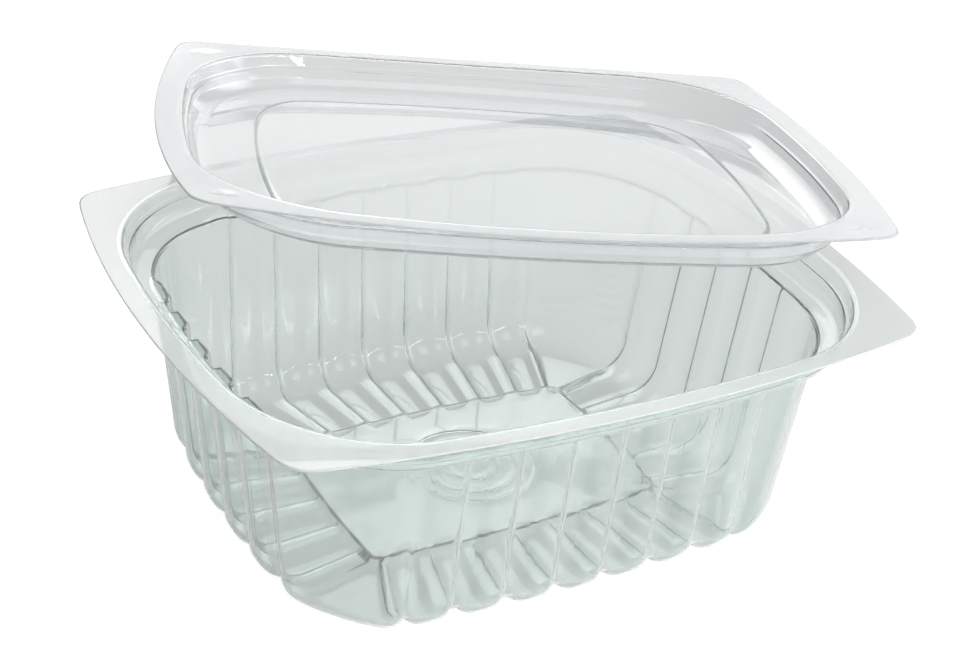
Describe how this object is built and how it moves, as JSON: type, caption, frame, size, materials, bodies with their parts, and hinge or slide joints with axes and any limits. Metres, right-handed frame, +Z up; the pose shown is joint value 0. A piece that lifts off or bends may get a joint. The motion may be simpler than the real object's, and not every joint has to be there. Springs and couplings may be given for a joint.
{
  "type": "takeaway meal container",
  "caption": "Clear thermoformed rectangular food tub with fluted walls and wide corner tabs, its recessed plug-in lid lying askew and tipped over the mouth.",
  "frame": {"origin": "middle of the foot of the whole object's box, on the surface that the tub stands on", "axes": "+X along the tub's long sides, -Y towards the uncovered front of the mouth, +Z up"},
  "size_m": [0.2204, 0.2074, 0.103],
  "materials": {
    "tub_plastic": "clear glossy thermoformed sheet with a faint grey-green tint",
    "lid_plastic": "clear glossy thermoformed sheet with a faint grey-green tint"
  },
  "bodies": {
    "root": {"tub": "tub_plastic", "lid": "lid_plastic"}
  },
  "joints": []
}
